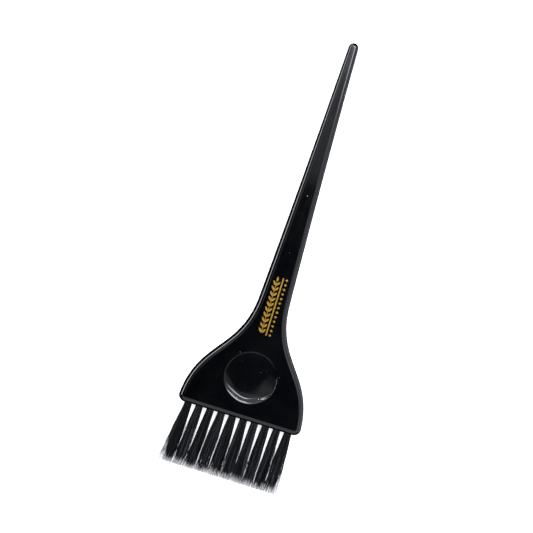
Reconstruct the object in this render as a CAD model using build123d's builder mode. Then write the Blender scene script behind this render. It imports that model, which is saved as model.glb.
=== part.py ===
"""Tint brush: a one-piece moulded handle with a paddle head, ten folded-filament
tufts held in the paddle's edge by flat-wire anchors, and a hot-stamped foil ornament.

The brush lies on its back. X runs across the paddle, +Y points to the tip of the
handle, +Z points out of the stamped face. The origin is the centre of the brush's
box, on the plane that its back rests on. All sizes are in millimetres.
"""
from build123d import *
from math import hypot, radians, sin
import os

os.makedirs("parts", exist_ok=True)

# --- driving dimensions --------------------------------------------------------

# lengths along the brush
grip_length = 114.0          # tapering grip, from its rounded tip to the flat plate
neck_length = 14.2           # leaning stretch of the plate above the flare
collar_length = 1.0          # parallel end of the neck, where the grip joins
flare_length = 58.1          # from the end of the neck to the paddle's bottom edge
bristle_length = 28.7        # free length of the filaments

# widths across the brush
head_width = 60.4
neck_width = 14.9            # where the flare begins
plate_end_width = 13.4       # where the grip meets the plate
grip_tip_width = 4.4
grip_hollow = 0.46           # how much the grip's middle is narrower than a straight taper

# thicknesses and rounded edges
plate_thickness = 7.0
grip_tip_thickness = 4.6
grip_belly = 0.1             # how much the grip's middle is thicker than a straight taper
plate_edge_radius = 2.8      # as far as the thickness and the corners leave room
grip_tip_radius = 2.1
least_flat = 0.1             # what a rounded edge leaves of the wall that limits it
head_corner_radius = 3.0

# flare: how far the sides keep their direction at each end of the S curve
flare_pull_neck = 27.2
flare_pull_head = 26.5
head_side_lean = 0.068       # the sides still open by this much just above the corners

# thumb dish, pressed into both faces
dish_diameter = 25.0
dish_above_edge = 20.0       # from the paddle's bottom edge to the dish's centre
dish_wall_depth = 0.9
dish_wall_run = 1.6          # how far the wall slopes in
dish_sag = 0.6               # extra depth of the floor at its centre
dish_lip_radius = 0.6
dish_root_radius = 0.9

# tufts
tuft_count = 10
row_margin = 5.54            # from the centre of an outer tuft to the paddle's side
hole_diameter = 3.5
hole_depth = 8.0
tuft_clearance = 0.05        # between the packed filaments and the wall of their hole
tuft_tip_margin = 0.7        # from the tip of an outer tuft to the paddle's side
tuft_tip_gap = 0.3
tuft_tip_depth = 4.8         # the tufts' thickness at the tips, through the brush

# flat-wire anchors, driven across the bottom of each hole
anchor_bite_share = 0.28     # each end bites into this share of the wall between holes
anchor_height = 1.6
anchor_thickness = 0.4
anchor_lift = 0.9            # room below the anchor for the folded filaments

# hot-stamped ornament: a leafy sprig, a rule and a row of lozenges
foil_depth = 0.06
foil_margin = 0.55           # from the outer rows to the rounded edge of the plate
foil_below_plate_end = 2.5
rule_length = 28.4
rule_width = 0.65
rule_place = 0.63            # share of the ornament's width, from the sprig's side
sprig_share = 0.5
stem_width = 0.32
leaf_pairs = 10
leaf_slant = 36.0
leaf_fullness = 0.36         # a leaf's width over its length
lozenge_count = 13
lozenge_share = 0.2

# --- places worked out from them -----------------------------------------------

total_length = grip_length + neck_length + flare_length + bristle_length
tip_y = total_length / 2
plate_end_y = tip_y - grip_length
grip_middle_y = tip_y - grip_length / 2
collar_y = plate_end_y - collar_length
flare_y = plate_end_y - neck_length
edge_y = flare_y - flare_length
corner_y = edge_y + head_corner_radius
bristle_end_y = edge_y - bristle_length
middle_z = plate_thickness / 2

# the neck's sides lean a little, and the flare carries on in their direction
neck_step = (neck_width - plate_end_width) / 2
neck_drop = neck_length - collar_length
neck_side = hypot(neck_drop, neck_step)
pull_out = flare_pull_neck * neck_step / neck_side
pull_down = flare_pull_neck * neck_drop / neck_side

edge_radius = min(
    plate_edge_radius,
    plate_thickness / 2 - least_flat,
    head_corner_radius - least_flat,
)

grip_middle_width = (plate_end_width + grip_tip_width) / 2 - grip_hollow
grip_middle_thickness = (plate_thickness + grip_tip_thickness) / 2 + grip_belly
grip_middle_radius = (edge_radius + grip_tip_radius) / 2

dish_y = edge_y + dish_above_edge
dish_radius = dish_diameter / 2
floor_radius = dish_radius - dish_wall_run
floor_z = plate_thickness - dish_wall_depth
floor_sphere = (floor_radius**2 + dish_sag**2) / (2 * dish_sag)

hole_bottom_y = edge_y + hole_depth
tuft_pitch = (head_width - 2 * row_margin) / (tuft_count - 1)
tuft_diameter = hole_diameter - 2 * tuft_clearance
tuft_tip_pitch = (head_width - 2 * tuft_tip_margin + tuft_tip_gap) / tuft_count
tuft_tip_width = tuft_tip_pitch - tuft_tip_gap
anchor_bite = (tuft_pitch - hole_diameter) * anchor_bite_share
anchor_length = hole_diameter + 2 * anchor_bite
anchor_y = hole_bottom_y - anchor_lift - anchor_height / 2

foil_width = plate_end_width - 2 * (edge_radius + foil_margin)
foil_left = -foil_width / 2
foil_top_y = plate_end_y - foil_below_plate_end
foil_middle_y = foil_top_y - rule_length / 2
sprig_x = foil_left + foil_width * sprig_share / 2
rule_x = foil_left + foil_width * rule_place
lozenge_size = foil_width * lozenge_share
lozenge_x = foil_left + foil_width - lozenge_size / 2
leaf_pitch = rule_length / (leaf_pairs + 1)
leaf_length = foil_width * sprig_share / 2 / sin(radians(leaf_slant))
foil_plane = Plane.XY.offset(plate_thickness - foil_depth)


def across(y):
    """Plane across the brush at y: its origin is at mid thickness, its y is up."""
    return Plane((0, y, middle_z), x_dir=(1, 0, 0), z_dir=(0, -1, 0))


def places_in_row(pitch):
    """Centres of the tufts at a given spacing, as x values from left to right."""
    return [(number - (tuft_count - 1) / 2) * pitch for number in range(tuft_count)]


# --- foil ornament -------------------------------------------------------------

with BuildSketch() as leaf:
    half_width = leaf_length * leaf_fullness / 2
    with BuildLine():
        ThreePointArc((0, 0), (-half_width, leaf_length / 2), (0, leaf_length))
        ThreePointArc((0, leaf_length), (half_width, leaf_length / 2), (0, 0))
    make_face()

with BuildPart() as foil_sprig:
    with BuildSketch(foil_plane):
        with Locations((sprig_x, foil_middle_y - leaf_length / 4)):
            Rectangle(stem_width, rule_length - leaf_length / 2)
        with Locations((sprig_x, foil_top_y - leaf_length)):
            add(leaf.sketch)
        for pair in range(leaf_pairs):
            leaf_y = foil_top_y - rule_length + (pair + 0.25) * leaf_pitch
            for slant in (-leaf_slant, leaf_slant):
                with Locations(Location((sprig_x, leaf_y, 0), (0, 0, slant))):
                    add(leaf.sketch)
    extrude(amount=foil_depth)
foil_sprig.part.label = "foil_sprig"
export_step(foil_sprig.part, "parts/foil_sprig.step")

with BuildPart() as foil_rule:
    with BuildSketch(foil_plane):
        with Locations((rule_x, foil_middle_y)):
            Rectangle(rule_width, rule_length)
    extrude(amount=foil_depth)
foil_rule.part.label = "foil_rule"
export_step(foil_rule.part, "parts/foil_rule.step")

with BuildPart() as foil_lozenges:
    with BuildSketch(foil_plane):
        lozenge_pitch = (rule_length - lozenge_size) / (lozenge_count - 1)
        with Locations((lozenge_x, foil_middle_y)):
            with GridLocations(0, lozenge_pitch, 1, lozenge_count):
                RegularPolygon(lozenge_size / 2, 4, rotation=0)
    extrude(amount=foil_depth)
foil_lozenges.part.label = "foil_lozenges"
export_step(foil_lozenges.part, "parts/foil_lozenges.step")

# --- handle --------------------------------------------------------------------

with BuildPart() as dish_cut:
    with BuildSketch(Plane.YZ):
        with BuildLine():
            Polyline(
                (dish_y, floor_z - dish_sag),
                (dish_y, plate_thickness),
                (dish_y + dish_radius, plate_thickness),
                (dish_y + floor_radius, floor_z),
            )
            RadiusArc((dish_y + floor_radius, floor_z), (dish_y, floor_z - dish_sag), floor_sphere)
        make_face()
    revolve(axis=Axis((0, dish_y, 0), (0, 0, 1)))

with BuildPart() as handle:
    # the plate: neck, flare and paddle in one outline, drawn as its right half
    with BuildSketch(Plane.XY):
        with BuildLine():
            Polyline(
                (0, plate_end_y),
                (plate_end_width / 2, plate_end_y),
                (plate_end_width / 2, collar_y),
                (neck_width / 2, flare_y),
            )
            Bezier(
                (neck_width / 2, flare_y),
                (neck_width / 2 + pull_out, flare_y - pull_down),
                (head_width / 2 - head_side_lean * flare_pull_head, corner_y + flare_pull_head),
                (head_width / 2, corner_y),
            )
            RadiusArc(
                (head_width / 2, corner_y),
                (head_width / 2 - head_corner_radius, edge_y),
                head_corner_radius,
            )
            Polyline(
                (head_width / 2 - head_corner_radius, edge_y),
                (0, edge_y),
                (0, plate_end_y),
            )
        make_face()
        mirror(about=Plane.YZ)
    extrude(amount=plate_thickness)

    # both faces' outlines are rounded, apart from where the grip joins
    outline_edges = handle.faces().filter_by(Axis.Z).edges()
    joined_edges = handle.faces().sort_by(Axis.Y)[-1].edges()
    fillet(outline_edges - joined_edges, edge_radius)

    # the grip, from the plate's end to a rounded tip
    with BuildSketch(across(plate_end_y)):
        RectangleRounded(plate_end_width, plate_thickness, edge_radius)
    with BuildSketch(across(grip_middle_y)):
        RectangleRounded(grip_middle_width, grip_middle_thickness, grip_middle_radius)
    with BuildSketch(across(tip_y)):
        RectangleRounded(grip_tip_width, grip_tip_thickness, grip_tip_radius)
    loft()
    tip_edges = handle.faces().sort_by(Axis.Y)[-1].edges()
    fillet(tip_edges, grip_tip_radius - least_flat)

    # thumb dishes with a soft lip and a soft root
    add(dish_cut.part, mode=Mode.SUBTRACT)
    mirror(dish_cut.part, about=Plane.XY.offset(middle_z), mode=Mode.SUBTRACT)
    dish_circles = handle.edges().filter_by(GeomType.CIRCLE).filter_by(Plane.XY)
    root_edges = dish_circles.filter_by(lambda edge: abs(edge.radius - floor_radius) < 0.01)
    lip_edges = dish_circles.filter_by(lambda edge: abs(edge.radius - dish_radius) < 0.01)
    fillet(root_edges, dish_root_radius)
    fillet(lip_edges, dish_lip_radius)

    # tuft holes in the bottom edge, with the slots that the anchors cut
    with BuildSketch(across(edge_y)):
        with Locations([(x, 0) for x in places_in_row(tuft_pitch)]):
            Circle(hole_diameter / 2)
    extrude(amount=-hole_depth, mode=Mode.SUBTRACT)
    with Locations([(x, anchor_y, middle_z) for x in places_in_row(tuft_pitch)]):
        Box(anchor_length, anchor_height, anchor_thickness, mode=Mode.SUBTRACT)

    # the stamped foil lies flush in the front face
    for foil in (foil_sprig, foil_rule, foil_lozenges):
        add(foil.part, mode=Mode.SUBTRACT)
handle.part.label = "handle"
export_step(handle.part, "parts/handle.step")

# --- anchors and tufts ---------------------------------------------------------

root_places = places_in_row(tuft_pitch)
tip_places = places_in_row(tuft_tip_pitch)

for number in range(tuft_count):
    with BuildPart() as anchor:
        with Locations((root_places[number], anchor_y, middle_z)):
            Box(anchor_length, anchor_height, anchor_thickness)
    anchor.part.label = f"anchor_{number + 1:02d}"
    export_step(anchor.part, f"parts/{anchor.part.label}.step")

    # the filaments lie packed in the hole, folded round the anchor, and fan out below
    with BuildPart() as tuft:
        with BuildSketch(across(edge_y)):
            with Locations((root_places[number], 0)):
                Circle(tuft_diameter / 2)
        extrude(amount=tuft_clearance - hole_depth)
        with BuildSketch(across(edge_y)):
            with Locations((root_places[number], 0)):
                Circle(tuft_diameter / 2)
        with BuildSketch(across(bristle_end_y)):
            with Locations((tip_places[number], 0)):
                Ellipse(tuft_tip_width / 2, tuft_tip_depth / 2)
        loft()
        add(anchor.part, mode=Mode.SUBTRACT)
    tuft.part.label = f"tuft_{number + 1:02d}"
    export_step(tuft.part, f"parts/{tuft.part.label}.step")

print(f"length {total_length:.1f}, width {head_width:.1f}, thickness {plate_thickness:.1f}")
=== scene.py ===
# %% [markdown]
# # A tint brush for a hair salon
# The brush is one moulded handle of glossy black plastic with ten tufts of filaments stapled
# into the edge of its paddle. The CAD model is loaded first and holds every size. Blender then
# gives the handle its smooth skin, the tufts their filaments and each surface its finish.

import math
import bmesh
import bpy
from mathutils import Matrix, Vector


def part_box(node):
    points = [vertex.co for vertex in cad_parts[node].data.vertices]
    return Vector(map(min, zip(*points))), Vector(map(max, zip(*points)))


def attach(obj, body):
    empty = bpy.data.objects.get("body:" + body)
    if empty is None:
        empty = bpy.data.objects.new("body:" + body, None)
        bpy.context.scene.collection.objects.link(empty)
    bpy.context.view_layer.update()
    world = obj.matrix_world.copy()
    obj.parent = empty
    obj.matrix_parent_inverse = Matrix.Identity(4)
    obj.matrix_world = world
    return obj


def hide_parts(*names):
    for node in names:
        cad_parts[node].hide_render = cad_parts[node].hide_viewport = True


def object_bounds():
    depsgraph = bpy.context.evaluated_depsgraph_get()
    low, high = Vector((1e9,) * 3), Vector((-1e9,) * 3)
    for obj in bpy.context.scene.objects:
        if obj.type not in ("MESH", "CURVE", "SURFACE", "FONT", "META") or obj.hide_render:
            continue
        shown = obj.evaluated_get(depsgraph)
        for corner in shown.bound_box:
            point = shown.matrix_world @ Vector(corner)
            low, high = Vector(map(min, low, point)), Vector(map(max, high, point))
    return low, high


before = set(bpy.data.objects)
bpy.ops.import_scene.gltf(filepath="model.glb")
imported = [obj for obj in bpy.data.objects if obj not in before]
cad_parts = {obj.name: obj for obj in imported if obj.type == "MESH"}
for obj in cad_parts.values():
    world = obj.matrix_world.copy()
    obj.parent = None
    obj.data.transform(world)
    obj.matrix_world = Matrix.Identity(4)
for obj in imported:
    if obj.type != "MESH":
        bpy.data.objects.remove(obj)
cad_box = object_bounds()

MM = 0.001
handle_low, handle_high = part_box("handle")
edge_y = handle_low.y
tip_y = handle_high.y
thickness = handle_high.z - handle_low.z
middle_z = (handle_high.z + handle_low.z) / 2
head_width = handle_high.x - handle_low.x
print(f"handle {(tip_y - edge_y) / MM:.1f} mm long, paddle {head_width / MM:.1f} mm wide")

# %% [markdown]
# Every tree of nodes below, for shapes and for finishes, is built by one small function. It adds
# a node, sets its properties, and fills its inputs with values or with links. Colours are written
# as sRGB hex values, and a second function turns them into the linear values that shaders take.

# %% One helper for all nodes, and one for colours
MATH = "ShaderNodeMath"  # the three kinds of node that are used most
VECTOR_MATH = "ShaderNodeVectorMath"
MAP_RANGE = "ShaderNodeMapRange"


def add_node(tree, kind, inputs=None, **settings):
    """Adds a node. inputs maps an input's name or number to a value, a node or a socket."""
    node = tree.nodes.new(kind)
    for name, value in settings.items():
        setattr(node, name, value)
    for key, value in (inputs or {}).items():
        if isinstance(value, bpy.types.Node):
            value = next(output for output in value.outputs if output.enabled)
        if isinstance(value, bpy.types.NodeSocket):
            tree.links.new(value, node.inputs[key])
        else:
            node.inputs[key].default_value = value
    return node


def linear(hex_colour):
    """An sRGB hex colour as the linear RGBA that shaders take."""
    channels = [int(hex_colour[start:start + 2], 16) / 255 for start in (1, 3, 5)]
    return [c / 12.92 if c <= 0.04045 else ((c + 0.055) / 1.055) ** 2.4 for c in channels] + [1.0]

# %% [markdown]
# ## Camera
# Small flat goods like this are laid on a light table and looked at from straight above. A long
# lens keeps the sides nearly parallel. The camera is turned about its own axis, so the brush
# lies across the frame with its tip leaning to the right.

# %% The camera above the table
lens = 100.0
sensor = 36.0
seen_width = 253.0 * MM  # what the frame spans at the brush's middle
camera_turn = math.radians(17.34)
shift_left = 9.96 * MM  # how far the camera's aim lies left of the brush's middle
shift_down = 3.28 * MM
brush_middle = (Vector(cad_box[0]) + Vector(cad_box[1])) / 2
frame_right = Vector((math.cos(camera_turn), math.sin(camera_turn), 0))
frame_up = Vector((-math.sin(camera_turn), math.cos(camera_turn), 0))
aim = brush_middle - shift_left * frame_right - shift_down * frame_up

camera_data = bpy.data.cameras.new("camera")
camera_data.lens = lens
camera_data.sensor_width = sensor
camera = bpy.data.objects.new("camera", camera_data)
camera.location = (aim.x, aim.y, middle_z + seen_width * lens / sensor)
camera.rotation_euler = (0, 0, camera_turn)
bpy.context.collection.objects.link(camera)
bpy.context.scene.camera = camera
print(f"camera {camera.location.z:.3f} m above the table")

# %% [markdown]
# ## Light table and softboxes
# The brush lies on an opal acrylic light table, which glows and so shows no shadow. Black gloss
# shows nothing but what it mirrors, so the room is kept out of the mirror: the table and the
# white world don't appear in reflections, and every highlight comes from a softbox. Each softbox
# is placed by its direction from the brush and by its angle down from overhead. One card hangs
# below the table's level, where the right-hand edge mirrors it through the table. Where a
# reflection should fade out softly, a small card hangs inside a larger and weaker one.

# %% The table and the world
scene = bpy.context.scene
scene.view_settings.view_transform = "Standard"

opal = bpy.data.materials.new("opal_acrylic_table")
opal.use_nodes = True
opal.node_tree.nodes.clear()
glow = add_node(opal.node_tree, "ShaderNodeEmission", {
    "Color": linear("#ffffff"), "Strength": 0.75})
sheet = add_node(opal.node_tree, "ShaderNodeBsdfDiffuse", {"Color": linear("#d9d9d7")})
table_mix = add_node(opal.node_tree, "ShaderNodeAddShader", {0: glow, 1: sheet})
add_node(opal.node_tree, "ShaderNodeOutputMaterial", {"Surface": table_mix})

table_mesh = bpy.data.meshes.new("light_table")
half = 1.5  # half the table's side, in metres
table_mesh.from_pydata(
    [(-half, -half, 0), (half, -half, 0), (half, half, 0), (-half, half, 0)], [], [(0, 1, 2, 3)])
table_mesh.materials.append(opal)
light_table = bpy.data.objects.new("light_table", table_mesh)
light_table.visible_glossy = False
light_table.visible_shadow = False
bpy.context.collection.objects.link(light_table)

world = bpy.data.worlds.new("white_room")
scene.world = world
world.use_nodes = True
world.node_tree.nodes["Background"].inputs["Color"].default_value = linear("#ffffff")
world.node_tree.nodes["Background"].inputs["Strength"].default_value = 1.0
world.cycles_visibility.glossy = False
print("table and white world ready")

# %% The softboxes
# name: (direction, angle down from overhead, width and height in metres, brightness)
# The direction is in degrees, counted from the brush's right side towards its tip.
softboxes = {
    "right_box": (8, 62, 2.6, 2.2, 0.75),
    "right_low_card": (8, 105, 2.6, 1.3, 0.55),
    "bottom_box": (-82, 56, 2.4, 1.75, 0.75),
    "right_card_wide": (46, 22, 0.95, 0.6, 0.3),
    "right_card": (43, 22, 0.5, 0.4, 0.5),
    "tip_box_near": (92, 22, 1.7, 0.85, 0.4),
    "tip_box": (92, 37, 1.7, 1.35, 0.9),
    "left_glow_wide": (150, 15, 0.95, 0.52, 0.1),
    "left_glow": (160, 14, 0.6, 0.36, 0.13),
    "left_glow_core": (168, 13, 0.34, 0.22, 0.14),
    "left_strip": (158, 63, 2.6, 0.34, 9.0),
    "key_strip": (70, 28.5, 0.9, 0.6, 8.0),
}
softbox_distance = 1.5
watts_per_area = 4  # a large softbox then looks as bright as a small one

for name, (direction, down, width, height, brightness) in softboxes.items():
    lamp_data = bpy.data.lights.new(name, "AREA")
    lamp_data.shape = "RECTANGLE"
    lamp_data.size = width
    lamp_data.size_y = height
    lamp_data.energy = watts_per_area * width * height * brightness
    lamp_data.color = linear("#f3f6ff")[:3]
    lamp = bpy.data.objects.new(name, lamp_data)
    turn = math.radians(direction)
    tilt = math.radians(down)
    towards = Vector((
        math.sin(tilt) * math.cos(turn), math.sin(tilt) * math.sin(turn), math.cos(tilt)
    ))
    lamp.location = brush_middle + softbox_distance * towards
    lamp.rotation_euler = (tilt, 0, turn + math.radians(90))
    lamp.visible_camera = False
    bpy.context.collection.objects.link(lamp)
print(len(softboxes), "softboxes")

# %% [markdown]
# ## Growing a piece with Geometry Nodes
# The handle, the filaments and the foil each follow a rule, so each is grown by a tree of
# geometry nodes with named inputs. The first helper starts a tree and names its inputs. The
# second hangs the tree on an object, fills in its sizes, and turns what grew into a plain mesh,
# so that no live modifier is left. The third shows that mesh in place of its CAD node, and the
# last closes a mesh whose sheets only touch.

# %% Helpers that grow a piece and put it in its place
SOCKETS = {float: "NodeSocketFloat", int: "NodeSocketInt", Vector: "NodeSocketVector"}


def new_tree(name, sizes):
    """Starts a tree that takes a geometry, the named sizes and a material."""
    tree = bpy.data.node_groups.new(name, "GeometryNodeTree")
    tree.interface.new_socket("Geometry", in_out="INPUT", socket_type="NodeSocketGeometry")
    for label, value in sizes.items():
        tree.interface.new_socket(label, in_out="INPUT", socket_type=SOCKETS[type(value)])
    tree.interface.new_socket("Material", in_out="INPUT", socket_type="NodeSocketMaterial")
    tree.interface.new_socket("Geometry", in_out="OUTPUT", socket_type="NodeSocketGeometry")
    return tree, add_node(tree, "NodeGroupInput").outputs


def grow(name, tree, sizes, material, base=None):
    """Runs the tree on base, or on nothing, and returns what grew as a plain mesh."""
    base = base or bpy.data.meshes.new(name + "_seed")
    seed = bpy.data.objects.new(name + "_seed", base)
    bpy.context.collection.objects.link(seed)
    modifier = seed.modifiers.new("grow", "NODES")
    modifier.node_group = tree
    values = {**sizes, "Material": material}
    for item in tree.interface.items_tree:
        if item.in_out == "INPUT" and item.name in values:
            modifier[item.identifier] = values[item.name]
    evaluated = seed.evaluated_get(bpy.context.evaluated_depsgraph_get())
    mesh = bpy.data.meshes.new_from_object(evaluated)
    mesh.name = name
    bpy.data.objects.remove(seed)
    print(f"{name}: {len(mesh.vertices)} vertices, {len(mesh.polygons)} faces")
    return mesh


def stand_for(node, mesh):
    """Shows the mesh as a piece in place of a CAD node, which it hides."""
    piece = bpy.data.objects.new(mesh.name, mesh)
    bpy.context.collection.objects.link(piece)
    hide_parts(node)
    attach(piece, "root")


MERGE = 0.0005 * MM  # corners closer than this are one corner
TOO_SHORT = 0.0001 * MM  # edges shorter than this are taken out


def close_up(mesh):
    """Merges doubled corners and turns every face outwards. Returns the count of open edges."""
    shape = bmesh.new()
    shape.from_mesh(mesh)
    bmesh.ops.remove_doubles(shape, verts=shape.verts, dist=MERGE)
    bmesh.ops.dissolve_degenerate(shape, edges=shape.edges, dist=TOO_SHORT)
    bmesh.ops.recalc_face_normals(shape, faces=shape.faces)
    open_edges = sum(not edge.is_manifold for edge in shape.edges)
    shape.to_mesh(mesh)
    shape.free()
    return open_edges

# %% [markdown]
# ## The handle's finish
# The handle is ABS, injection moulded in a polished steel mould and coloured black all through.
# That gives a deep black with a clear gloss, a faint waviness where the thick plastic shrank,
# and fine rub marks and fingerprints that only show in the highlights.

# %% Moulded black ABS
def new_material(name):
    """A node material with one Principled shader, and the shader's node."""
    material = bpy.data.materials.new(name)
    material.use_nodes = True
    return material, material.node_tree, material.node_tree.nodes["Principled BSDF"]


abs_black, tree, shader = new_material("moulded_gloss_black_abs")
shader.inputs["IOR"].default_value = 1.54
place = add_node(tree, "ShaderNodeTexCoord").outputs["Object"]

# colour: carbon black, a little greyer where it has been handled
handled = add_node(tree, "ShaderNodeTexNoise", {
    "Vector": place, "Scale": 1 / (14 * MM), "Detail": 4.0, "Roughness": 0.55})
black = add_node(tree, "ShaderNodeValToRGB", {"Fac": handled})
for stop, at, shade in zip(black.color_ramp.elements, (0.35, 0.75), ("#020203", "#050607")):
    stop.position, stop.color = at, linear(shade)

# dust: grey specks of 0.3 mm, each in the middle of a cell, most of them caught in the dish
dust_cells = add_node(tree, "ShaderNodeTexVoronoi", {"Vector": place, "Scale": 1 / (2.6 * MM)})
cell_chance = add_node(tree, "ShaderNodeSeparateColor", {0: dust_cells.outputs["Color"]})
dish_middle_y = edge_y + 20.0 * MM
from_dish = add_node(tree, VECTOR_MATH, {
    0: place, 1: (0.0, dish_middle_y, handle_high.z)}, operation="DISTANCE")
rarity = add_node(tree, MAP_RANGE, {
    "Value": from_dish, "From Min": 11 * MM, "From Max": 14 * MM, "To Min": 0.4, "To Max": 0.95})
is_dusty = add_node(tree, MATH, {0: cell_chance, 1: rarity}, operation="GREATER_THAN")
speck = add_node(tree, MAP_RANGE, {
    "Value": dust_cells.outputs["Distance"], "From Min": 0.075, "From Max": 0.045})
dust = add_node(tree, MATH, {0: speck, 1: is_dusty}, operation="MULTIPLY")
dusty_black = add_node(tree, "ShaderNodeMix", {
    "Factor": dust, 6: black, 7: linear("#8f9299")}, data_type="RGBA")
tree.links.new(dusty_black.outputs[2], shader.inputs["Base Color"])

# gloss: smears of 6 mm, and rub marks drawn out along the handle
smears = add_node(tree, "ShaderNodeTexNoise", {
    "Vector": place, "Scale": 1 / (6 * MM), "Detail": 6.0, "Roughness": 0.6})
along = add_node(tree, "ShaderNodeMapping", {"Vector": place, "Scale": (1.0, 0.06, 1.0)})
rub_marks = add_node(tree, "ShaderNodeTexNoise", {
    "Vector": along, "Scale": 1 / (0.7 * MM), "Detail": 3.0, "Roughness": 0.5})
gloss_mix = add_node(tree, MATH, {0: smears, 1: rub_marks}, operation="MULTIPLY")
roughness = add_node(tree, MAP_RANGE, {
    "Value": gloss_mix, "From Min": 0.12, "From Max": 0.42, "To Min": 0.05, "To Max": 0.13})
roughness = add_node(tree, MATH, {0: dust, 1: 0.5, 2: roughness}, operation="MULTIPLY_ADD")
tree.links.new(roughness.outputs["Value"], shader.inputs["Roughness"])

# shape of the skin: shrinkage waves of 16 mm, and the rub marks as hair-fine grooves
waves = add_node(tree, "ShaderNodeTexNoise", {
    "Vector": place, "Scale": 1 / (16 * MM), "Detail": 1.0})
wave_bump = add_node(tree, "ShaderNodeBump", {
    "Height": waves, "Strength": 0.35, "Distance": 0.12 * MM})
mark_bump = add_node(tree, "ShaderNodeBump", {
    "Height": rub_marks, "Normal": wave_bump, "Strength": 0.12, "Distance": 0.01 * MM})
tree.links.new(mark_bump.outputs["Normal"], shader.inputs["Normal"])
print("handle finish:", abs_black.name)

# %% [markdown]
# ## The handle's outline
# Seen from above, the handle is one line: round corners at the paddle's bottom edge, a long S
# curve up each side into the neck, and a grip that tapers to a round tip. A Bezier curve holds
# such a line in few points. Only the right side is written down, and the left is its mirror.

# %% Outline of the handle as a Bezier curve
grip_length = 114.0 * MM
neck_length = 14.2 * MM
plate_end_y = tip_y - grip_length
flare_y = plate_end_y - neck_length
corner_radius = 3.5 * MM
neck_half = 7.6 * MM
plate_end_half = 6.9 * MM
tip_radius = 2.35 * MM
tip_half = 1.03 * tip_radius  # half the grip's width where its round tip begins
quarter_arc = 0.5523  # handle length that makes a quarter circle

paddle_half = head_width / 2
corner_y = edge_y + corner_radius
across_way = Vector((1, 0))
head_way = Vector((-0.068, 1))  # which way the line runs at each point, going up
neck_way = Vector((-0.056, 1))
plate_end_way = Vector((-0.0475, 1))
tip_way = Vector((-0.0314, 1))
edge_pull = 10 * MM  # how far the curve's handles reach at each point
corner_pull = corner_radius * quarter_arc
side_pull = 26.5 * MM
neck_pull = 27.2 * MM
tip_pull = tip_radius * quarter_arc

# each point: where it is, the line's way through it, and its handles' reach back and ahead
right_side = [
    ((paddle_half - corner_radius, edge_y), across_way, edge_pull, corner_pull),
    ((paddle_half, corner_y), head_way, corner_pull, side_pull),
    ((neck_half, flare_y), neck_way, neck_pull, neck_length / 3),
    ((plate_end_half, plate_end_y), plate_end_way, neck_length / 3, grip_length / 3),
    ((tip_half, tip_y - tip_radius), tip_way, grip_length / 3, tip_pull),
    ((0, tip_y), -across_way, tip_pull, tip_pull),
]
left_side = [
    ((-x, y), Vector((way.x, -way.y)), ahead, back)
    for (x, y), way, back, ahead in reversed(right_side[:-1])
]

outline = bpy.data.curves.new("handle_outline", "CURVE")
outline.dimensions = "3D"
outline.resolution_u = 256
spline = outline.splines.new("BEZIER")
points = right_side + left_side
spline.bezier_points.add(len(points) - 1)
spline.use_cyclic_u = True
for bezier, (point, way, back, ahead) in zip(spline.bezier_points, points):
    bezier.co = (*point, 0)
    bezier.handle_left = bezier.co - back * way.to_3d()
    bezier.handle_right = bezier.co + ahead * way.to_3d()
print(len(points), "points round the handle")

# %% [markdown]
# ## The handle's skin
# The moulded edge is a wide, even rounding that runs all the way round the outline. Sweeping one
# fixed profile can't follow the handle's thickness, which falls towards the tip. So a flat grid
# is laid round the outline instead: one side of the grid follows the curve, and the other goes
# over the edge, from the front face to the back. A filled sheet closes each face, with a hole
# left for the thumb dish, and the dish is a second grid, wound into a disc.

# %% Tree for the handle: the rounded edge
handle_sizes = {
    "Middle height": middle_z,
    "Plate thickness": thickness,
    "Tip thickness": 4.6 * MM,
    "Belly": 0.1 * MM,
    "Plate edge radius": 2.8 * MM,
    "Tip edge radius": 2.0 * MM,
    "Plate end": plate_end_y,
    "Tip": tip_y,
    "Dish place": dish_middle_y,
    "Dish lip radius": 12.5 * MM,
    "Dish root radius, far end": 9.5 * MM,
    "Dish root radius, near end": 12.3 * MM,
    "Dish wall depth, far end": 0.6 * MM,
    "Dish wall depth, near end": 0.75 * MM,
    "Dish sag": 1.2 * MM,
    "Support width": 0.12 * MM,
    "Steps round": 1800,
    "Steps over edge": 25,
}
tree, size = new_tree("moulded_handle", handle_sizes)


def half_thickness(y):
    """Half the handle's thickness at y: a straight taper with a slight belly."""
    share = add_node(tree, MAP_RANGE, {
        "Value": y, "From Min": size["Plate end"], "From Max": size["Tip"]})
    taper = add_node(tree, MAP_RANGE, {
        "Value": share, "To Min": size["Plate thickness"], "To Max": size["Tip thickness"]})
    rest = add_node(tree, MATH, {0: 1.0, 1: share}, operation="SUBTRACT")
    arch = add_node(tree, MATH, {0: share, 1: rest}, operation="MULTIPLY")
    belly = add_node(tree, MATH, {0: arch, 1: size["Belly"]}, operation="MULTIPLY")
    # an arch of share times rest is a quarter high at its middle, so it counts four times
    whole = add_node(tree, MATH, {0: belly, 1: 4.0, 2: taper}, operation="MULTIPLY_ADD")
    return add_node(tree, MATH, {0: whole, 1: 0.5}, operation="MULTIPLY")


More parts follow.
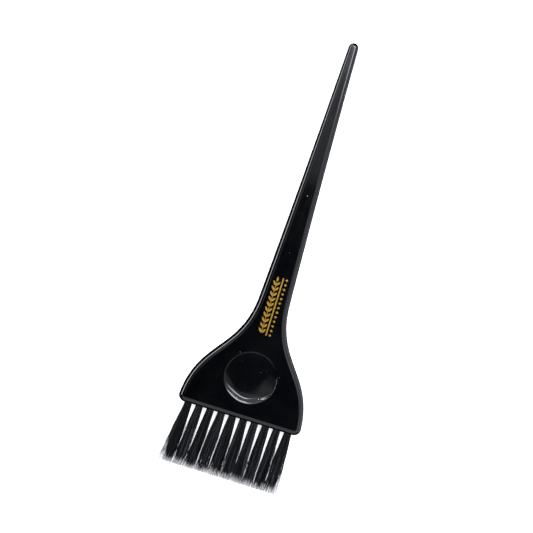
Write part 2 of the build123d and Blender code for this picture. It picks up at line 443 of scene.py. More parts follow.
position = add_node(tree, "GeometryNodeInputPosition").outputs[0]
edge_grid = add_node(tree, "GeometryNodeMeshGrid", {
    "Size X": 1.0, "Size Y": 1.0,
    "Vertices X": size["Steps round"], "Vertices Y": size["Steps over edge"]})
grid_place = add_node(tree, "ShaderNodeSeparateXYZ", {0: position}).outputs
round_share = add_node(tree, MATH, {0: grid_place["X"], 1: 0.5}, operation="ADD")
on_outline = add_node(tree, "GeometryNodeSampleCurve", {
    "Curves": size["Geometry"], "Factor": round_share}, use_all_curves=True)
outwards = add_node(tree, VECTOR_MATH, {
    0: on_outline.outputs["Tangent"], 1: (0.0, 0.0, 1.0)}, operation="CROSS_PRODUCT")
outwards = add_node(tree, VECTOR_MATH, {0: outwards}, operation="NORMALIZE")
outline_y = add_node(tree, "ShaderNodeSeparateXYZ", {
    0: on_outline.outputs["Position"]}).outputs["Y"]
outline_share = add_node(tree, MAP_RANGE, {
    "Value": outline_y, "From Min": size["Plate end"], "From Max": size["Tip"]})
edge_radius = add_node(tree, MAP_RANGE, {
    "Value": outline_share,
    "To Min": size["Plate edge radius"], "To Max": size["Tip edge radius"]})

# the first and last rows of the grid lie on the faces, and the rest turn through half a circle
last_row = add_node(tree, MATH, {0: size["Steps over edge"], 1: 1.0}, operation="SUBTRACT")
row_step = add_node(tree, MATH, {0: 1.0, 1: last_row}, operation="DIVIDE")
turn_end = add_node(tree, MATH, {0: 0.5, 1: row_step}, operation="SUBTRACT")
turn_start = add_node(tree, MATH, {0: turn_end, 1: -1.0}, operation="MULTIPLY")
turn = add_node(tree, MAP_RANGE, {
    "Value": grid_place["Y"], "From Min": turn_start, "From Max": turn_end,
    "To Min": 0.0, "To Max": math.pi})
from_middle = add_node(tree, MATH, {0: grid_place["Y"]}, operation="ABSOLUTE")
on_face = add_node(tree, MATH, {0: from_middle, 1: turn_end}, operation="SUBTRACT")
on_face = add_node(tree, MATH, {0: on_face, 1: row_step}, operation="DIVIDE", use_clamp=True)
sine = add_node(tree, MATH, {0: turn}, operation="SINE")
cosine = add_node(tree, MATH, {0: turn}, operation="COSINE")
missing_sine = add_node(tree, MATH, {0: 1.0, 1: sine}, operation="SUBTRACT")
narrower = add_node(tree, MAP_RANGE, {"Value": outline_share, "To Min": 1.0, "To Max": 0.33})
support = add_node(tree, MATH, {0: size["Support width"], 1: narrower}, operation="MULTIPLY")
support = add_node(tree, MATH, {0: support, 1: on_face}, operation="MULTIPLY")
inset = add_node(tree, MATH, {
    0: edge_radius, 1: missing_sine, 2: support}, operation="MULTIPLY_ADD")
inwards = add_node(tree, VECTOR_MATH, {0: outwards, "Scale": inset}, operation="SCALE")
plan_place = add_node(tree, VECTOR_MATH, {
    0: on_outline.outputs["Position"], 1: inwards}, operation="SUBTRACT")
plan_xyz = add_node(tree, "ShaderNodeSeparateXYZ", {0: plan_place}).outputs
half_here = half_thickness(plan_xyz["Y"])
wall_half = add_node(tree, MATH, {0: half_here, 1: edge_radius}, operation="SUBTRACT")
front_or_back = add_node(tree, MATH, {0: cosine}, operation="SIGN")
wall_part = add_node(tree, MATH, {
    0: wall_half, 1: front_or_back, 2: size["Middle height"]}, operation="MULTIPLY_ADD")
edge_z = add_node(tree, MATH, {0: edge_radius, 1: cosine, 2: wall_part}, operation="MULTIPLY_ADD")
edge_place = add_node(tree, "ShaderNodeCombineXYZ", {
    "X": plan_xyz["X"], "Y": plan_xyz["Y"], "Z": edge_z})
edge_band = add_node(tree, "GeometryNodeSetPosition", {
    "Geometry": edge_grid, "Position": edge_place})
edge_band = add_node(tree, "GeometryNodeMergeByDistance", {
    "Geometry": edge_band, "Distance": MERGE})
print(len(tree.nodes), "nodes for the rounded edge")

# %% Tree for the handle: the dish and the two faces
dish_steps_round = 144
dish_steps_out = 72
dish_margin = 0.3 * MM  # how far the wound grid goes past the dish's lip

dish_grid = add_node(tree, "GeometryNodeMeshGrid", {
    "Size X": 1.0, "Size Y": 1.0,
    "Vertices X": dish_steps_round + 1, "Vertices Y": dish_steps_out + 1})
dish_round = add_node(tree, MATH, {0: grid_place["X"], 1: math.tau}, operation="MULTIPLY")
dish_share = add_node(tree, MATH, {0: grid_place["Y"], 1: 0.5}, operation="ADD", use_clamp=True)
dish_share = add_node(tree, MATH, {0: dish_share}, operation="SQRT")
dish_reach = add_node(tree, MATH, {0: size["Dish lip radius"], 1: dish_margin}, operation="ADD")
dish_out = add_node(tree, MATH, {0: dish_share, 1: dish_reach}, operation="MULTIPLY")
dish_cosine = add_node(tree, MATH, {0: dish_round}, operation="COSINE")
dish_sine = add_node(tree, MATH, {0: dish_round}, operation="SINE")

# the wall slopes gently at the far end, by the bristles, where the sine is -1, and is steep at
# the near end, where it is 1
far_share = add_node(tree, MAP_RANGE, {
    "Value": dish_sine, "From Min": -0.25, "From Max": -0.95}, interpolation_type="SMOOTHSTEP")
root_radius = add_node(tree, MAP_RANGE, {
    "Value": far_share, "To Min": size["Dish root radius, near end"],
    "To Max": size["Dish root radius, far end"]})
wall_depth = add_node(tree, MAP_RANGE, {
    "Value": add_node(tree, MATH, {0: dish_sine, 1: dish_share}, operation="MULTIPLY"),
    "From Min": 1.0, "From Max": -1.0, "To Min": size["Dish wall depth, near end"],
    "To Max": size["Dish wall depth, far end"]})
wall_share = add_node(tree, MAP_RANGE, {
    "Value": dish_out, "From Min": size["Dish lip radius"],
    "From Max": root_radius}, interpolation_type="SMOOTHSTEP")
floor_share = add_node(tree, MATH, {0: dish_out, 1: size["Dish lip radius"]}, operation="DIVIDE")
floor_share = add_node(tree, MATH, {0: floor_share, 1: 2.0}, operation="POWER")
floor_share = add_node(tree, MATH, {0: 1.0, 1: floor_share}, operation="SUBTRACT", use_clamp=True)
dish_depth = add_node(tree, MATH, {
    0: floor_share, 1: size["Dish sag"], 2: wall_depth}, operation="MULTIPLY_ADD")
dish_depth = add_node(tree, MATH, {0: dish_depth, 1: wall_share}, operation="MULTIPLY")
dish_x = add_node(tree, MATH, {0: dish_out, 1: dish_cosine}, operation="MULTIPLY")
dish_y = add_node(tree, MATH, {
    0: dish_out, 1: dish_sine, 2: size["Dish place"]}, operation="MULTIPLY_ADD")
front_z = add_node(tree, MATH, {
    0: size["Plate thickness"], 1: 0.5, 2: size["Middle height"]}, operation="MULTIPLY_ADD")
dish_z = add_node(tree, MATH, {0: front_z, 1: dish_depth}, operation="SUBTRACT")
dish_place = add_node(tree, "ShaderNodeCombineXYZ", {"X": dish_x, "Y": dish_y, "Z": dish_z})
dish = add_node(tree, "GeometryNodeSetPosition", {"Geometry": dish_grid, "Position": dish_place})
dish = add_node(tree, "GeometryNodeMergeByDistance", {"Geometry": dish, "Distance": MERGE})

# the front face fills the space between the band's front border and the dish's border
here = add_node(tree, "ShaderNodeSeparateXYZ", {0: position}).outputs
faces_beside = add_node(tree, "GeometryNodeInputMeshEdgeNeighbors")
is_border = add_node(tree, "FunctionNodeCompare", {
    2: faces_beside, 3: 1}, data_type="INT", operation="EQUAL")
is_front = add_node(tree, "FunctionNodeCompare", {
    0: here["Z"], 1: size["Middle height"]}, data_type="FLOAT", operation="GREATER_THAN")
front_border = add_node(tree, "FunctionNodeBooleanMath", {
    0: is_border, 1: is_front}, operation="AND")
borders = add_node(tree, "GeometryNodeJoinGeometry")
for band in (edge_band, dish):
    loop = add_node(tree, "GeometryNodeMeshToCurve", {"Mesh": band, "Selection": front_border})
    tree.links.new(loop.outputs["Curve"], borders.inputs["Geometry"])
face = add_node(tree, "GeometryNodeFillCurve", {"Curve": borders})
face_half = half_thickness(here["Y"])
face_z = add_node(tree, MATH, {0: size["Middle height"], 1: face_half}, operation="ADD")
face_place = add_node(tree, "ShaderNodeCombineXYZ", {"X": here["X"], "Y": here["Y"], "Z": face_z})
face = add_node(tree, "GeometryNodeSetPosition", {"Geometry": face, "Position": face_place})

# the back is the front, mirrored about the middle height
front = add_node(tree, "GeometryNodeJoinGeometry")
for sheet in (face, dish):
    tree.links.new(sheet.outputs[0], front.inputs["Geometry"])
height_twice = add_node(tree, MATH, {0: size["Middle height"], 1: 2.0}, operation="MULTIPLY")
back_z = add_node(tree, MATH, {0: height_twice, 1: here["Z"]}, operation="SUBTRACT")
back_place = add_node(tree, "ShaderNodeCombineXYZ", {"X": here["X"], "Y": here["Y"], "Z": back_z})
back = add_node(tree, "GeometryNodeSetPosition", {"Geometry": front, "Position": back_place})
back = add_node(tree, "GeometryNodeFlipFaces", {"Mesh": back})
skin = add_node(tree, "GeometryNodeJoinGeometry")
for sheet in (back, front, edge_band):
    tree.links.new(sheet.outputs[0], skin.inputs["Geometry"])
skin = add_node(tree, "GeometryNodeMergeByDistance", {"Geometry": skin, "Distance": MERGE})
skin = add_node(tree, "GeometryNodeSetShadeSmooth", {"Geometry": skin})
skin = add_node(tree, "GeometryNodeRealizeInstances", {"Geometry": skin})
skin = add_node(tree, "GeometryNodeSetMaterial", {"Geometry": skin, "Material": size["Material"]})
add_node(tree, "NodeGroupOutput", {"Geometry": skin})
print(len(tree.nodes), "nodes for the whole handle")

# %% The handle grown from its outline
handle_mesh = grow("handle_moulding", tree, handle_sizes, abs_black, outline)
print("open edges:", close_up(handle_mesh))
stand_for("handle", handle_mesh)

# %% [markdown]
# ## The filaments' finish
# The filaments are black nylon, drawn out and cut, with a dull sheen along their sides. Their
# ends are flagged: split into finer hairs that scatter light, so the last millimetres look
# The finish reads three values that each filament carries: how far along it a point is, where its
# own pale end begins, and a chance that lightens about one filament in five to grey as a painted
# highlight streak.

# %% Black nylon with flagged ends
nylon, tree, shader = new_material("drawn_black_nylon")
along = add_node(tree, "ShaderNodeAttribute", attribute_name="along").outputs["Fac"]
pale_from = add_node(tree, "ShaderNodeAttribute", attribute_name="pale_from").outputs["Fac"]
chance = add_node(tree, "ShaderNodeAttribute", attribute_name="chance").outputs["Fac"]
past = add_node(tree, MATH, {0: along, 1: pale_from}, operation="SUBTRACT")
pale = add_node(tree, MAP_RANGE, {
    "Value": past, "From Min": 0.0, "From Max": 0.05}, interpolation_type="SMOOTHSTEP")
# painted highlight: filaments with a high chance get a lighter grey colour, standing in for glints
# along the black nylon
painted_highlight_streak = add_node(tree, MAP_RANGE, {"Value": chance, "From Min": 0.78, "From Max": 0.9})
dark = add_node(tree, "ShaderNodeMix", {
    "Factor": painted_highlight_streak, 6: linear("#020304"), 7: linear("#2d3036")}, data_type="RGBA")
colour = add_node(tree, "ShaderNodeMix", {
    "Factor": pale, 6: dark, 7: linear("#a7a6a8")}, data_type="RGBA")
tree.links.new(colour.outputs[2], shader.inputs["Base Color"])
shader.inputs["IOR"].default_value = 1.53
shader.inputs["Specular IOR Level"].default_value = 0.14
drawn = add_node(tree, "ShaderNodeTexNoise", {
    "Vector": add_node(tree, "ShaderNodeMapping", {
        "Vector": add_node(tree, "ShaderNodeTexCoord").outputs["Object"],
        "Scale": (1.0, 0.1, 1.0)}),
    "Scale": 1 / (0.25 * MM), "Detail": 2.0})
dullness = add_node(tree, MAP_RANGE, {"Value": drawn, "To Min": 0.35, "To Max": 0.6})
tree.links.new(dullness.outputs["Result"], shader.inputs["Roughness"])
drawn_bump = add_node(tree, "ShaderNodeBump", {
    "Height": drawn, "Strength": 0.3, "Distance": 0.01 * MM})
tree.links.new(drawn_bump.outputs["Normal"], shader.inputs["Normal"])
print("filament finish:", nylon.name)

# %% [markdown]
# ## The tufts
# Each tuft is a bundle of long filaments, folded over a small flat wire and driven into a hole
# in the paddle's edge. Out of the hole the bundle spreads until it meets its neighbours, its
# filaments cling together in locks, and a few stray across the gap. One tree grows a tuft: it
# lays points over a disc in the pattern of a sunflower, sets one thin rod on each point, and
# then bends every rod by its place in the disc. Ten sets of sizes give ten different tufts.

# %% Tree for a tuft: points and rods
tuft_sizes = {
    "Root": Vector((0, 0, 0)),
    "Tip": Vector((0, 0, 0)),
    "Root radius": 1.73 * MM,
    "Tip half width": 2.9 * MM,
    "Tip half depth": 2.4 * MM,
    "End flare": 0.4 * MM,
    "Depth in hole": 2.0 * MM,
    "Filament radius": 0.085 * MM,
    "Filaments": 260,
    "Cling": 0.75,
    "Wave": 0.9 * MM,
    "Stray": 1.7 * MM,
    "Fringe side": 0.0,
    "Seed": 0,
}
tree, size = new_tree("folded_filament_tuft", tuft_sizes)
golden_angle = math.pi * (3 - math.sqrt(5))
pattern_step = 7.3  # how far apart the patterns of two tufts are read
locks_across = 3.2  # cells in half the disc's width
stray_from = 0.86  # the chance above which a filament strays
calm_lean = 0.14  # how much of a stray's lean the others have
splay_share = 1.1  # how far the fringe splays, in strays' leans
pale_by_lock = 0.08  # how much later a whole lock's pale ends may begin
pale_on_fringe = -0.5  # and how much earlier on an outer tuft's fringe

index = add_node(tree, "GeometryNodeInputIndex")
spots = add_node(tree, "GeometryNodePoints", {"Count": size["Filaments"]})
angle = add_node(tree, MATH, {0: index, 1: golden_angle}, operation="MULTIPLY")
ring = add_node(tree, MATH, {0: index, 1: 0.5}, operation="ADD")
ring = add_node(tree, MATH, {0: ring, 1: size["Filaments"]}, operation="DIVIDE")
ring = add_node(tree, MATH, {0: ring}, operation="SQRT")
disc = add_node(tree, "ShaderNodeCombineXYZ", {
    "X": add_node(tree, MATH, {0: angle}, operation="COSINE"),
    "Z": add_node(tree, MATH, {0: angle}, operation="SINE")})
disc = add_node(tree, VECTOR_MATH, {0: disc, "Scale": ring}, operation="SCALE")

# locks: every filament is drawn towards the middle of its own small cell of the disc
own_pattern = add_node(tree, "ShaderNodeCombineXYZ", {
    "Y": add_node(tree, MATH, {0: size["Seed"], 1: pattern_step}, operation="MULTIPLY")})
in_pattern = add_node(tree, VECTOR_MATH, {0: disc, 1: own_pattern}, operation="ADD")
lock_cells = add_node(tree, "ShaderNodeTexVoronoi", {"Vector": in_pattern, "Scale": locks_across})
lock = add_node(tree, VECTOR_MATH, {
    0: lock_cells.outputs["Position"], 1: in_pattern}, operation="SUBTRACT")
lock = add_node(tree, VECTOR_MATH, {0: lock, 1: (1.0, 0.0, 1.0)}, operation="MULTIPLY")

# every kind of chance in a tuft has its own seed
lean_seed, length_seed, pale_seed = (
    add_node(tree, MATH, {0: size["Seed"], 1: apart}, operation="ADD")
    for apart in (100.0, 200.0, 300.0))

# strays: one filament in seven leans away, and the rest hardly at all
chance = add_node(tree, "FunctionNodeRandomValue", {"Seed": size["Seed"]}).outputs[1]
is_stray = add_node(tree, MATH, {0: chance, 1: stray_from}, operation="GREATER_THAN")
lean_share = add_node(tree, MAP_RANGE, {"Value": is_stray, "To Min": calm_lean})
lean = add_node(tree, "FunctionNodeRandomValue", {
    0: (-1.0, 0.0, -1.0), 1: (1.0, 0.0, 1.0), "Seed": lean_seed}, data_type="FLOAT_VECTOR")
lean = add_node(tree, VECTOR_MATH, {0: lean, "Scale": lean_share}, operation="SCALE")

# on an outer tuft, the outermost filaments splay out and are pale over more of their length
disc_x = add_node(tree, "ShaderNodeSeparateXYZ", {0: disc}).outputs["X"]
outerness = add_node(tree, MATH, {0: disc_x, 1: size["Fringe side"]}, operation="MULTIPLY")
outerness = add_node(tree, MAP_RANGE, {"Value": outerness, "From Min": 0.3})
splay = add_node(tree, MATH, {0: outerness, 1: size["Fringe side"]}, operation="MULTIPLY")
splay = add_node(tree, MATH, {0: splay, 1: splay_share}, operation="MULTIPLY")
lean = add_node(tree, VECTOR_MATH, {
    0: lean, 1: add_node(tree, "ShaderNodeCombineXYZ", {"X": splay})}, operation="ADD")

# lengths differ by filament, and pale ends by lock too, so that dark locks reach into the pale
length_share = add_node(tree, "FunctionNodeRandomValue", {2: 1.01, 3: 1.04, "Seed": length_seed})
lock_chance = add_node(tree, "ShaderNodeSeparateXYZ", {0: lock_cells.outputs["Color"]}).outputs[0]
pale_jitter = add_node(tree, "FunctionNodeRandomValue", {2: 0.845, 3: 0.91, "Seed": pale_seed})
pale_start = add_node(tree, MATH, {
    0: lock_chance, 1: pale_by_lock, 2: pale_jitter.outputs[1]}, operation="MULTIPLY_ADD")
early = add_node(tree, MATH, {0: outerness, 1: chance}, operation="MULTIPLY")
pale_start = add_node(tree, MATH, {
    0: early, 1: pale_on_fringe, 2: pale_start}, operation="MULTIPLY_ADD")

rod = add_node(tree, "GeometryNodeMeshCylinder", {
    "Vertices": 5, "Side Segments": 9, "Radius": 1.0, "Depth": 1.0}).outputs["Mesh"]
rod_place = add_node(tree, "GeometryNodeInputPosition").outputs[0]
rod_xyz = add_node(tree, "ShaderNodeSeparateXYZ", {0: rod_place}).outputs
rod_along = add_node(tree, MATH, {0: rod_xyz["Z"], 1: 0.5}, operation="ADD")
rod_round = add_node(tree, "ShaderNodeCombineXYZ", {"X": rod_xyz["X"], "Z": rod_xyz["Y"]})

# each value is written on the points or on the rod, and read again when the rods are bent
for label, value, kind in (
    ("disc", disc, "FLOAT_VECTOR"),
    ("lock", lock, "FLOAT_VECTOR"),
    ("lean", lean, "FLOAT_VECTOR"),
    ("length_share", length_share.outputs[1], "FLOAT"),
    ("pale_from", pale_start, "FLOAT"),
    ("chance", chance, "FLOAT"),
):
    spots = add_node(tree, "GeometryNodeStoreNamedAttribute", {
        "Geometry": spots, "Name": label, "Value": value}, data_type=kind, domain="POINT")
for label, value, kind in (
    ("along", rod_along, "FLOAT"),
    ("round", rod_round, "FLOAT_VECTOR"),
):
    rod = add_node(tree, "GeometryNodeStoreNamedAttribute", {
        "Geometry": rod, "Name": label, "Value": value}, data_type=kind, domain="POINT")
rods = add_node(tree, "GeometryNodeInstanceOnPoints", {"Points": spots, "Instance": rod})
rods = add_node(tree, "GeometryNodeRealizeInstances", {"Geometry": rods})
print(len(tree.nodes), "nodes for the rods")

# %% Tree for a tuft: bending the rods
read = {
    label: add_node(tree, "GeometryNodeInputNamedAttribute", {"Name": label}, data_type=kind)
    for label, kind in (
        ("along", "FLOAT"),
        ("length_share", "FLOAT"),
        ("disc", "FLOAT_VECTOR"),
        ("lock", "FLOAT_VECTOR"),
        ("lean", "FLOAT_VECTOR"),
        ("round", "FLOAT_VECTOR"),
    )
}
root_xyz = add_node(tree, "ShaderNodeSeparateXYZ", {0: size["Root"]}).outputs
tip_xyz = add_node(tree, "ShaderNodeSeparateXYZ", {0: size["Tip"]}).outputs
start_y = add_node(tree, MATH, {0: root_xyz["Y"], 1: size["Depth in hole"]}, operation="ADD")
reach = add_node(tree, MATH, {0: read["along"], 1: read["length_share"]}, operation="MULTIPLY")
rod_y = add_node(tree, MAP_RANGE, {
    "Value": reach, "To Min": start_y, "To Max": tip_xyz["Y"]}, clamp=False)
free_share = add_node(tree, MAP_RANGE, {
    "Value": rod_y, "From Min": root_xyz["Y"], "From Max": tip_xyz["Y"]})

# the bundle swells fast out of the hole and then hardly more, about a straight middle line
swell_power = 2.8
still_to_go = add_node(tree, MATH, {0: 1.0, 1: free_share}, operation="SUBTRACT")
still_to_go = add_node(tree, MATH, {0: still_to_go, 1: swell_power}, operation="POWER")
spread = add_node(tree, MATH, {0: 1.0, 1: still_to_go}, operation="SUBTRACT")
half_width = add_node(tree, MAP_RANGE, {
    "Value": spread, "To Min": size["Root radius"], "To Max": size["Tip half width"]})
end_flare = add_node(tree, MAP_RANGE, {
    "Value": free_share, "From Min": 0.88, "From Max": 1.0, "To Max": size["End flare"]})
half_width = add_node(tree, MATH, {0: half_width, 1: end_flare}, operation="ADD")
half_depth = add_node(tree, MAP_RANGE, {
    "Value": spread, "To Min": size["Root radius"], "To Max": size["Tip half depth"]})
half_sizes = add_node(tree, "ShaderNodeCombineXYZ", {"X": half_width, "Z": half_depth})

late = add_node(tree, MATH, {0: free_share, 1: 1.5}, operation="POWER")
cling = add_node(tree, MATH, {0: late, 1: size["Cling"]}, operation="MULTIPLY")
to_lock = add_node(tree, VECTOR_MATH, {0: read["lock"], "Scale": cling}, operation="SCALE")
in_disc = add_node(tree, VECTOR_MATH, {0: read["disc"], 1: to_lock}, operation="ADD")
middle_line = add_node(tree, "ShaderNodeMix", {
    "Factor": free_share, 4: size["Root"], 5: size["Tip"]}, data_type="VECTOR")
bent = add_node(tree, VECTOR_MATH, {
    0: in_disc, 1: half_sizes, 2: middle_line}, operation="MULTIPLY_ADD")

# slow waves, shared by neighbours, and each filament's own lean
wave_place = add_node(tree, VECTOR_MATH, {
    0: in_disc, 1: add_node(tree, "ShaderNodeCombineXYZ", {"Y": free_share})}, operation="ADD")
wave_place = add_node(tree, VECTOR_MATH, {0: wave_place, 1: own_pattern}, operation="ADD")
wave = add_node(tree, "ShaderNodeTexNoise", {"Vector": wave_place, "Scale": 2.4, "Detail": 2.0})
wave = add_node(tree, VECTOR_MATH, {
    0: wave.outputs["Color"], 1: (0.5, 0.5, 0.5)}, operation="SUBTRACT")
wave_size = add_node(tree, MATH, {0: free_share, 1: size["Wave"]}, operation="MULTIPLY")
wave_size = add_node(tree, MATH, {0: wave_size, 1: 2.0}, operation="MULTIPLY")
wave = add_node(tree, VECTOR_MATH, {0: wave, "Scale": wave_size}, operation="SCALE")
bent = add_node(tree, VECTOR_MATH, {0: bent, 1: wave}, operation="ADD")
lean_size = add_node(tree, MATH, {0: late, 1: size["Stray"]}, operation="MULTIPLY")
bent = add_node(tree, VECTOR_MATH, {
    0: read["lean"], 1: lean_size, 2: bent}, operation="MULTIPLY_ADD")

# the rod's own thickness, drawn to a finer end
fineness = add_node(tree, MAP_RANGE, {
    "Value": read["along"], "From Min": 0.8, "From Max": 1.0, "To Min": 1.0, "To Max": 0.35})
rod_radius = add_node(tree, MATH, {0: size["Filament radius"], 1: fineness}, operation="MULTIPLY")
bent = add_node(tree, VECTOR_MATH, {
    0: read["round"], 1: rod_radius, 2: bent}, operation="MULTIPLY_ADD")
bent_xyz = add_node(tree, "ShaderNodeSeparateXYZ", {0: bent}).outputs
rod_place = add_node(tree, "ShaderNodeCombineXYZ", {
    "X": bent_xyz["X"], "Y": rod_y, "Z": bent_xyz["Z"]})
tuft = add_node(tree, "GeometryNodeSetPosition", {"Geometry": rods, "Position": rod_place})
tuft = add_node(tree, "GeometryNodeSetShadeSmooth", {"Geometry": tuft})
tuft = add_node(tree, "GeometryNodeRealizeInstances", {"Geometry": tuft})
tuft = add_node(tree, "GeometryNodeSetMaterial", {"Geometry": tuft, "Material": size["Material"]})
add_node(tree, "NodeGroupOutput", {"Geometry": tuft})
print(len(tree.nodes), "nodes for a tuft")

# %% Ten tufts in their holes
tuft_nodes = sorted(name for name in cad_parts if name.startswith("tuft_"))
fringe_sides = {tuft_nodes[0]: -1.0, tuft_nodes[-1]: 0.8}
# no two tufts are alike: where each one ends, and half its width there, in millimetres
tip_places = (-26.6, -21.1, -15.7, -9.75, -3.4, 2.5, 7.85, 13.2, 18.65, 24.1)
tip_half_widths = (2.7, 2.5, 2.5, 2.95, 2.85, 2.6, 2.4, 2.6, 2.5, 2.75)
for number, node in enumerate(tuft_nodes):
    anchor_low, anchor_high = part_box(f"anchor_{number + 1:02d}")
    tuft_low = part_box(node)[0]
    sizes = {
        **tuft_sizes,
        "Root": Vector(((anchor_low.x + anchor_high.x) / 2, edge_y, middle_z)),
        "Tip": Vector((tip_places[number] * MM, tuft_low.y, middle_z)),
        "Tip half width": tip_half_widths[number] * MM,
        "Fringe side": fringe_sides.get(node, 0.0),
        "Seed": number,
    }
    stand_for(node, grow(f"{node}_filaments", tree, sizes, nylon))

# %% [markdown]
# ## The gold stamping
# A heated die presses gold foil onto the neck. Here it is a plain ornament: a leafy sprig, a
# rule, and a row of lozenges. The foil is a layer of bronze-coloured metal under lacquer, so it
# is softer than polished gold, its metal shows a fine grain, and the black shows through where
# it has worn.

# %% Hot-stamped gold foil
gold_foil, tree, shader = new_material("hot_stamped_gold_foil")
shader.inputs["Metallic"].default_value = 0.75
place = add_node(tree, "ShaderNodeTexCoord").outputs["Object"]
grain = add_node(tree, "ShaderNodeTexNoise", {
    "Vector": place, "Scale": 1 / (0.35 * MM), "Detail": 3.0})
leaf_colour = add_node(tree, "ShaderNodeValToRGB", {"Fac": grain})
for stop, at, shade in zip(leaf_colour.color_ramp.elements, (0.3, 0.7), ("#7f5e1a", "#a58230")):
    stop.position, stop.color = at, linear(shade)
worn_spots = add_node(tree, "ShaderNodeTexNoise", {
    "Vector": place, "Scale": 1 / (1.1 * MM), "Detail": 5.0, "Roughness": 0.7})
worn = add_node(tree, MAP_RANGE, {"Value": worn_spots, "From Min": 0.66, "From Max": 0.72})
foil_colour = add_node(tree, "ShaderNodeMix", {
    "Factor": worn, 6: leaf_colour, 7: linear("#1a1509")}, data_type="RGBA")
tree.links.new(foil_colour.outputs[2], shader.inputs["Base Color"])
foil_gloss = add_node(tree, MAP_RANGE, {"Value": grain, "To Min": 0.3, "To Max": 0.55})
tree.links.new(foil_gloss.outputs["Result"], shader.inputs["Roughness"])
foil_bump = add_node(tree, "ShaderNodeBump", {
    "Height": grain, "Strength": 0.25, "Distance": 0.01 * MM})
tree.links.new(foil_bump.outputs["Normal"], shader.inputs["Normal"])
print("foil finish:", gold_foil.name)

# %% [markdown]
# The sprig and the lozenges repeat one small shape, so points on a line carry the copies. Each
# copy is a very thin closed plate, a hundredth of a millimetre or two above the plastic, because
# two surfaces at the same height would flicker through each other.

# %% Tree for a row of copies
row_sizes = {
    "First": Vector((0, 0, 0)),
    "Step": Vector((0, 0, 0)),
    "Copies": 1,
    "Corners": 16,
    "Half width": 0.5 * MM,
    "Half length": 1.4 * MM,
    "Side power": 1.0,
    "End power": 1.0,
    "Shift from root": 0.0,
    "Slant": 0.0,
    "Foil thickness": 0.05 * MM,
}
tree, size = new_tree("row_of_foil", row_sizes)


def powered(value, power):
    """value to a power, with its sign kept. 1 leaves a round, 2 makes a point, 0 a square."""
    side = add_node(tree, MATH, {0: value}, operation="SIGN")
    amount = add_node(tree, MATH, {0: value}, operation="ABSOLUTE")
    amount = add_node(tree, MATH, {0: amount, 1: power}, operation="POWER")
    return add_node(tree, MATH, {0: amount, 1: side}, operation="MULTIPLY")


round_plate = add_node(tree, "GeometryNodeMeshCylinder", {
    "Vertices": size["Corners"], "Side Segments": 1,
    "Radius": 1.0, "Depth": size["Foil thickness"]})
plate_xyz = add_node(tree, "ShaderNodeSeparateXYZ", {
    0: add_node(tree, "GeometryNodeInputPosition")}).outputs
plate_x = add_node(tree, MATH, {
    0: powered(plate_xyz["X"], size["Side power"]), 1: size["Half width"]}, operation="MULTIPLY")
plate_y = add_node(tree, MATH, {
    0: powered(plate_xyz["Y"], size["End power"]), 1: size["Half length"],
    2: size["Shift from root"]}, operation="MULTIPLY_ADD")
plate_place = add_node(tree, "ShaderNodeCombineXYZ", {
    "X": plate_x, "Y": plate_y, "Z": plate_xyz["Z"]})
plate = add_node(tree, "GeometryNodeSetPosition", {
    "Geometry": round_plate.outputs["Mesh"], "Position": plate_place})
line = add_node(tree, "GeometryNodeMeshLine", {
    "Count": size["Copies"], "Start Location": size["First"], "Offset": size["Step"]})
slant = add_node(tree, "ShaderNodeCombineXYZ", {"Z": size["Slant"]})
row = add_node(tree, "GeometryNodeInstanceOnPoints", {
    "Points": line, "Instance": plate, "Rotation": slant})
row = add_node(tree, "GeometryNodeJoinGeometry", {"Geometry": row})
tree.links.new(size["Geometry"], row.inputs["Geometry"])
row = add_node(tree, "GeometryNodeRealizeInstances", {"Geometry": row})
row = add_node(tree, "GeometryNodeSetMaterial", {"Geometry": row, "Material": size["Material"]})
add_node(tree, "NodeGroupOutput", {"Geometry": row})
print(len(tree.nodes), "nodes for a row of foil")

# %% The rule and the lozenges
foil_z = handle_high.z - 0.01 * MM  # the foil's middle height, so its top is just proud
bar_powers = {"Corners": 32, "Side power": 0.12, "End power": 0.12}

rule_low, rule_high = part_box("foil_rule")
rule_middle = (rule_low + rule_high) / 2
rule_mesh = grow("foil_rule_stamp", tree, {
    **row_sizes, **bar_powers,
    "First": Vector((rule_middle.x, rule_middle.y, foil_z)),
    "Half width": (rule_high.x - rule_low.x) / 2,
    "Half length": (rule_high.y - rule_low.y) / 2,
}, gold_foil)
stand_for("foil_rule", rule_mesh)

lozenge_count = 13
row_low, row_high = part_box("foil_lozenges")
lozenge_half = (row_high.x - row_low.x) / 2
row_run = row_high.y - row_low.y - 2 * lozenge_half
lozenge_mesh = grow("foil_lozenges_stamp", tree, {
    **row_sizes,
    "First": Vector((row_low.x + lozenge_half, row_low.y + lozenge_half, foil_z)),
    "Step": Vector((0, row_run / (lozenge_count - 1), 0)),
    "Copies": lozenge_count,
    "Corners": 4,
    "Half width": lozenge_half,
    "Half length": lozenge_half,
}, gold_foil)
stand_for("foil_lozenges", lozenge_mesh)

# %% The sprig: a stem, leaves to the left and to the right, and one on top
leaf_pairs = 10
leaf_slant = math.radians(36)
leaf_narrowness = 0.18  # half a leaf's width, as a share of its length
leaf_root_gap = 0.06  # the bare share between the stem and the leaf's root
stem_half = 0.16 * MM
sprig_low, sprig_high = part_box("foil_sprig")
sprig_x = (sprig_low.x + sprig_high.x) / 2
sprig_length = sprig_high.y - sprig_low.y
leaf_length = (sprig_high.x - sprig_low.x) / 2 / math.sin(leaf_slant)
leaf_pitch = sprig_length / (leaf_pairs + 1)
leaf = {
    "Half width": leaf_length * leaf_narrowness,
    "Half length": leaf_length * (1 - leaf_root_gap) / 2,
    "Side power": 2.0,
    "Shift from root": leaf_length * (1 + leaf_root_gap) / 2,
}
leaf_row = {
    **leaf,
    "First": Vector((sprig_x, sprig_low.y + leaf_pitch / 4, foil_z)),
    "Step": Vector((0, leaf_pitch, 0)),
    "Copies": leaf_pairs,
}
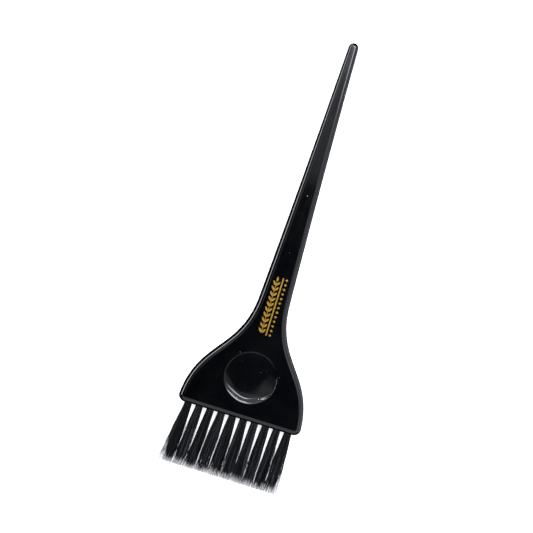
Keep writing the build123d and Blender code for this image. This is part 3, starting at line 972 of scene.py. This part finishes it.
stem = {
    **bar_powers,
    "First": Vector((sprig_x, sprig_low.y + sprig_length / 2 - leaf_length / 4, foil_z)),
    "Half width": stem_half,
    "Half length": sprig_length / 2 - leaf_length / 2,
}
top_leaf = {**leaf, "First": Vector((sprig_x, sprig_high.y - leaf_length, foil_z))}
left_leaves = {**leaf_row, "Slant": leaf_slant}
right_leaves = {**leaf_row, "Slant": -leaf_slant}
sprig_mesh = None
for part in (stem, top_leaf, left_leaves, right_leaves):
    sprig_mesh = grow("foil_sprig_stamp", tree, {**row_sizes, **part}, gold_foil, sprig_mesh)
stand_for("foil_sprig", sprig_mesh)

# %% [markdown]
# ## The anchors
# Each tuft is folded over a short flat wire of half-hard brass, which is punched from a coil
# and driven across the hole. The CAD solids have the right shape, so they stay, and only get
# their finish: brass drawn through a die, with fine lines along the wire and a brown tarnish.

# %% Drawn brass wire
brass, tree, shader = new_material("drawn_brass_wire")
shader.inputs["Metallic"].default_value = 1.0
place = add_node(tree, "ShaderNodeTexCoord").outputs["Object"]
tarnish = add_node(tree, "ShaderNodeTexNoise", {
    "Vector": place, "Scale": 1 / (1.2 * MM), "Detail": 4.0})
brass_colour = add_node(tree, "ShaderNodeValToRGB", {"Fac": tarnish})
for stop, at, shade in zip(brass_colour.color_ramp.elements, (0.35, 0.65), ("#7d5f2a", "#d3ad5e")):
    stop.position, stop.color = at, linear(shade)
tree.links.new(brass_colour.outputs["Color"], shader.inputs["Base Color"])
die_lines = add_node(tree, "ShaderNodeTexNoise", {
    "Vector": add_node(tree, "ShaderNodeMapping", {"Vector": place, "Scale": (0.05, 1.0, 1.0)}),
    "Scale": 1 / (0.12 * MM), "Detail": 2.0})
brass_gloss = add_node(tree, MAP_RANGE, {"Value": die_lines, "To Min": 0.22, "To Max": 0.45})
tree.links.new(brass_gloss.outputs["Result"], shader.inputs["Roughness"])
die_bump = add_node(tree, "ShaderNodeBump", {
    "Height": die_lines, "Strength": 0.3, "Distance": 0.01 * MM})
tree.links.new(die_bump.outputs["Normal"], shader.inputs["Normal"])
for name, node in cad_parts.items():
    if name.startswith("anchor_"):
        for material_slot in node.material_slots:
            material_slot.material = brass
print("anchor finish:", brass.name)
